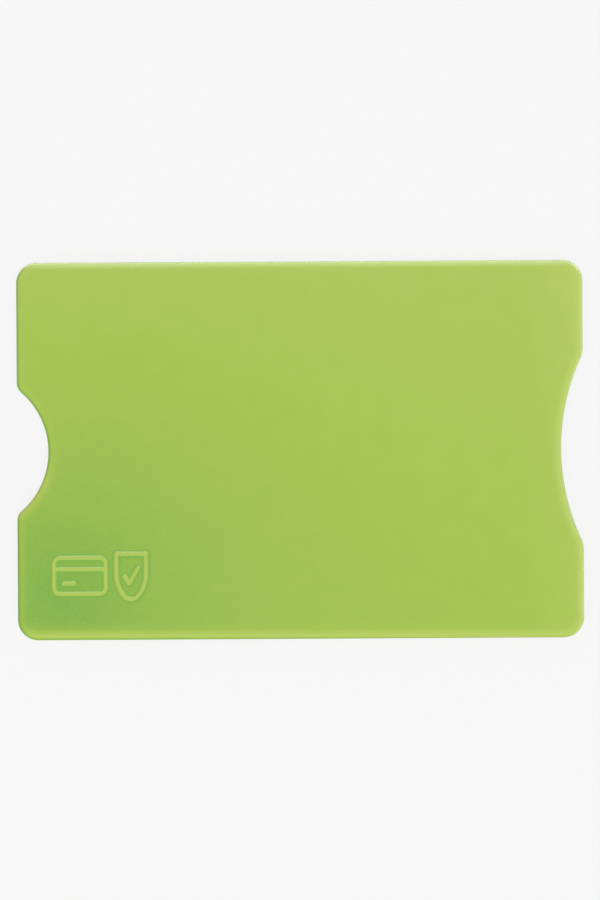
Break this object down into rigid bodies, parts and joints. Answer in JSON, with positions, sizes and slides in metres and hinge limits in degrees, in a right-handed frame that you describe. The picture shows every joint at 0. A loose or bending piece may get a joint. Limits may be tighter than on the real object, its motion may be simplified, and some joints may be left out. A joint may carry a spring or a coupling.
{
  "type": "rfid card holder",
  "caption": "Rigid plastic sleeve for a bank card, open at one end, with a thumb notch at each end and metal shield sheets inside.",
  "frame": {"origin": "under the middle of the holder, on the plane of its back face", "axes": "+X along the length towards the open mouth, +Y along the width, +Z through the thickness out of the front face"},
  "size_m": [0.09, 0.06, 0.004],
  "materials": {
    "lime_plastic": "satin lime green moulded plastic",
    "aluminium": "thin rolled sheet, satin"
  },
  "bodies": {
    "root": {"front_shell": "lime_plastic", "back_shell": "lime_plastic", "front_shield": "aluminium", "back_shield": "aluminium"}
  },
  "joints": []
}
